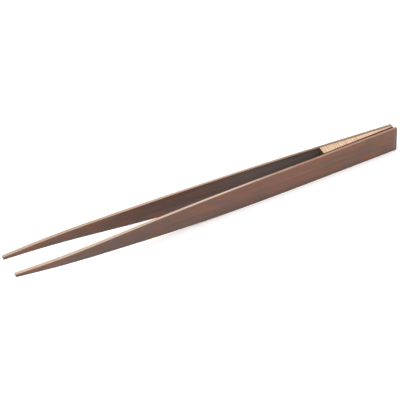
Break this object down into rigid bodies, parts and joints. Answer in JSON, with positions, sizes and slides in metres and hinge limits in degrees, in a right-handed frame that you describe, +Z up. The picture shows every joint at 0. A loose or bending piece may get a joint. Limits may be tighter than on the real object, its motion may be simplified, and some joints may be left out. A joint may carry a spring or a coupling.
{
  "type": "print tongs",
  "caption": "Slim spring tongs of flat bamboo on edge: two legs glued to a wedge at the handle, tapering to fine square tips that close when squeezed.",
  "frame": {"origin": "centre of the bounding box in X and Y, on the surface that the lower long edges rest on", "axes": "+X from the tips to the handle's back end, +Y towards the right-hand leg seen from the back end, +Z up"},
  "size_m": [0.23, 0.0192, 0.0153],
  "materials": {
    "bamboo_leg": "satin carbonised bamboo, brown, paler on the sawn edges",
    "wedge_wood": "bare pale wood, fine saw marks across",
    "glue": "cured dark glue, recessed"
  },
  "bodies": {
    "handle": {"wedge": "wedge_wood", "left_glue_film": "glue", "right_glue_film": "glue", "left_leg_handle": "bamboo_leg", "right_leg_handle": "bamboo_leg"},
    "left_blade": {"left_leg_blade": "bamboo_leg", "left_leg_tip": "bamboo_leg"},
    "right_blade": {"right_leg_blade": "bamboo_leg", "right_leg_tip": "bamboo_leg"}
  },
  "joints": [
    {"name": "left_leg_flex", "type": "hinge", "parent": "handle", "child": "left_blade", "pos_m": [0.0403, -0.00478, 0.00765], "axis": [0, 0, -1], "range_deg": [0, 2.37], "stiffness_Nm_per_rad": 0.7},
    {"name": "right_leg_flex", "type": "hinge", "parent": "handle", "child": "right_blade", "pos_m": [0.0403, 0.00478, 0.00765], "axis": [0, 0, 1], "range_deg": [0, 2.37], "stiffness_Nm_per_rad": 0.7}
  ]
}
